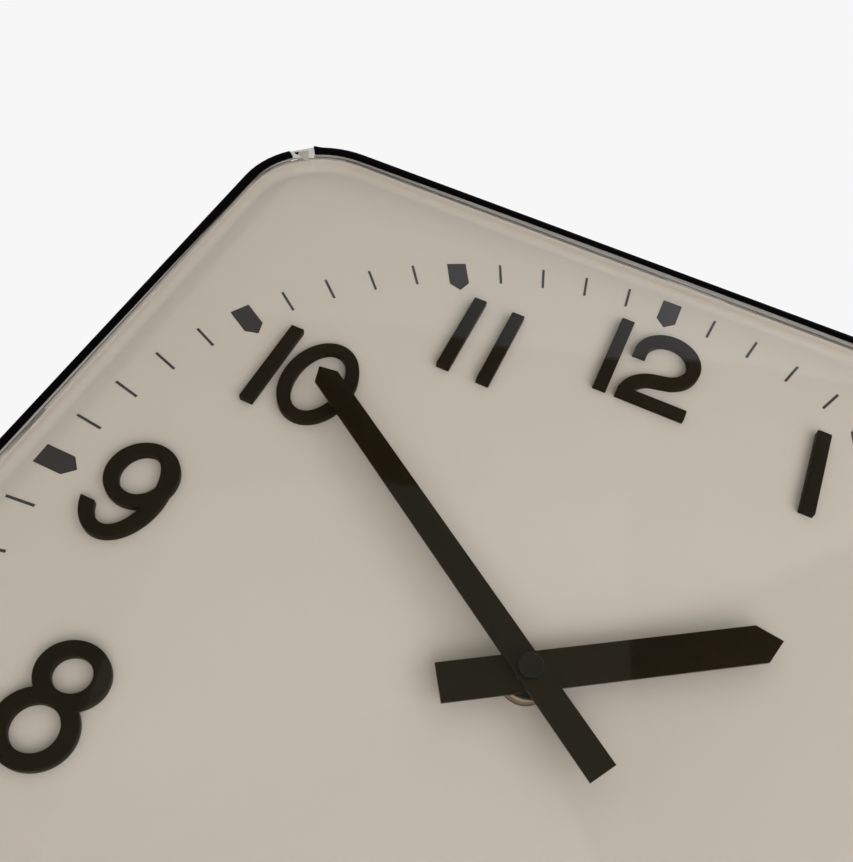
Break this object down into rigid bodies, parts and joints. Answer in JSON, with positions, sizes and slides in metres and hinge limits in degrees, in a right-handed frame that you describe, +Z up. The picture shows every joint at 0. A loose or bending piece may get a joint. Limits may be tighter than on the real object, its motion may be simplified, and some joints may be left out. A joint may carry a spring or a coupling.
{
  "type": "wall clock",
  "caption": "Square wall clock: rounded corners, domed glass, black edge trim, raised black numerals and two broad pointed hands on a geared quartz movement.",
  "frame": {"origin": "centre of the hanger slot's upper end, where the nail sits, on the plane of the wall", "axes": "+X to the right as the dial is read, +Y out of the back into the wall, +Z up"},
  "size_m": [0.3, 0.0415, 0.3],
  "materials": {
    "clear_glass": "clear polished glass",
    "trim_black": "black satin plastic strip",
    "tab_grey": "light grey plastic",
    "dial_white": "warm white satin paint",
    "print_grey": "dark grey printed ink",
    "print_black": "dark printed ink",
    "numeral_black": "black moulded plastic, glued on",
    "hand_black": "black gloss paint on thin sheet",
    "cap_black": "black moulded cap",
    "nut_brass": "polished brass",
    "rubber_black": "soft black rubber",
    "case_white": "warm white moulded plastic",
    "hanger_steel": "plated steel",
    "housing_black": "black moulded plastic with a fine texture",
    "wheel_white": "natural acetal",
    "knob_plastic": "light grey moulded plastic",
    "magnet_dark": "sintered magnet",
    "core_iron": "soft iron sheet",
    "winding_copper": "lacquered copper wire",
    "board_brown": "resin board",
    "chip_black": "black resin",
    "crystal_can": "polished can",
    "battery_jacket": "plain printed jacket",
    "contact_steel": "plated spring steel"
  },
  "bodies": {
    "case_set": {"battery": "battery_jacket", "chip": "chip_black", "circuit_board": "board_brown", "coil_bobbin": "wheel_white", "coil_core": "core_iron", "coil_winding": "winding_copper", "contact_negative": "contact_steel", "contact_positive": "contact_steel", "dial_nut": "nut_brass", "dial_plate": "dial_white", "dial_washer": "nut_brass", "edge_trim": "trim_black", "glass_cover": "clear_glass", "hanger_plate": "hanger_steel", "hanger_screws": "hanger_steel", "hour_markers": "print_black", "minute_ticks": "print_grey", "movement_front_housing": "housing_black", "movement_middle_plate": "housing_black", "movement_rear_housing": "housing_black", "numeral_1": "numeral_black", "numeral_10_one": "numeral_black", "numeral_10_zero": "numeral_black", "numeral_11_left": "numeral_black", "numeral_11_right": "numeral_black", "numeral_12_one": "numeral_black", "numeral_12_two": "numeral_black", "numeral_2": "numeral_black", "numeral_3": "numeral_black", "numeral_4": "numeral_black", "numeral_5": "numeral_black", "numeral_6": "numeral_black", "numeral_7": "numeral_black", "numeral_8": "numeral_black", "numeral_9": "numeral_black", "quartz_crystal": "crystal_can", "rear_case": "case_white", "rubber_washer": "rubber_black", "stator": "core_iron", "trim_tab": "tab_grey", "wall_bumpers": "rubber_black"},
    "minute_set": {"minute_hand": "hand_black", "minute_hand_bush": "nut_brass", "centre_cap": "cap_black", "minute_arbor": "nut_brass", "centre_wheel": "wheel_white"},
    "hour_set": {"hour_hand": "hand_black", "hour_hand_bush": "nut_brass", "hour_wheel": "wheel_white"},
    "third_set": {"third_wheel": "wheel_white"},
    "seconds_set": {"seconds_wheel": "wheel_white"},
    "intermediate_set": {"intermediate_wheel": "wheel_white"},
    "rotor_set": {"rotor_pinion": "wheel_white", "rotor_magnet": "magnet_dark"},
    "minute_work_set": {"minute_work_wheel": "wheel_white"},
    "knob_set": {"setting_knob": "knob_plastic"}
  },
  "joints": [
    {"name": "minute_turn", "type": "hinge", "parent": "case_set", "child": "minute_set", "pos_m": [0, 0, -0.105], "axis": [0, 1, 0], "continuous": true},
    {"name": "hour_turn", "type": "hinge", "parent": "case_set", "child": "hour_set", "pos_m": [0, 0, -0.105], "axis": [0, 1, 0], "continuous": true},
    {"name": "third_turn", "type": "hinge", "parent": "case_set", "child": "third_set", "pos_m": [0.00885, 0, -0.09881], "axis": [0, 1, 0], "continuous": true},
    {"name": "seconds_turn", "type": "hinge", "parent": "case_set", "child": "seconds_set", "pos_m": [0.0131, 0, -0.09144], "axis": [0, 1, 0], "continuous": true},
    {"name": "intermediate_turn", "type": "hinge", "parent": "case_set", "child": "intermediate_set", "pos_m": [0.01829, 0, -0.08844], "axis": [0, 1, 0], "continuous": true},
    {"name": "rotor_turn", "type": "hinge", "parent": "case_set", "child": "rotor_set", "pos_m": [0.02101, 0, -0.09334], "axis": [0, 1, 0], "continuous": true},
    {"name": "minute_work_turn", "type": "hinge", "parent": "case_set", "child": "minute_work_set", "pos_m": [-0.00688, 0, -0.09517], "axis": [0, 1, 0], "continuous": true},
    {"name": "knob_turn", "type": "hinge", "parent": "case_set", "child": "knob_set", "pos_m": [-0.00088, 0, -0.08478], "axis": [0, 1, 0], "continuous": true}
  ],
  "couplings": [
    {"joint": "third_turn", "follows": "minute_turn", "ratio": -8},
    {"joint": "seconds_turn", "follows": "minute_turn", "ratio": 60},
    {"joint": "intermediate_turn", "follows": "minute_turn", "ratio": -300},
    {"joint": "rotor_turn", "follows": "minute_turn", "ratio": 1800},
    {"joint": "minute_work_turn", "follows": "minute_turn", "ratio": -0.33333},
    {"joint": "hour_turn", "follows": "minute_turn", "ratio": 0.083333},
    {"joint": "knob_turn", "follows": "minute_turn", "ratio": 1}
  ]
}
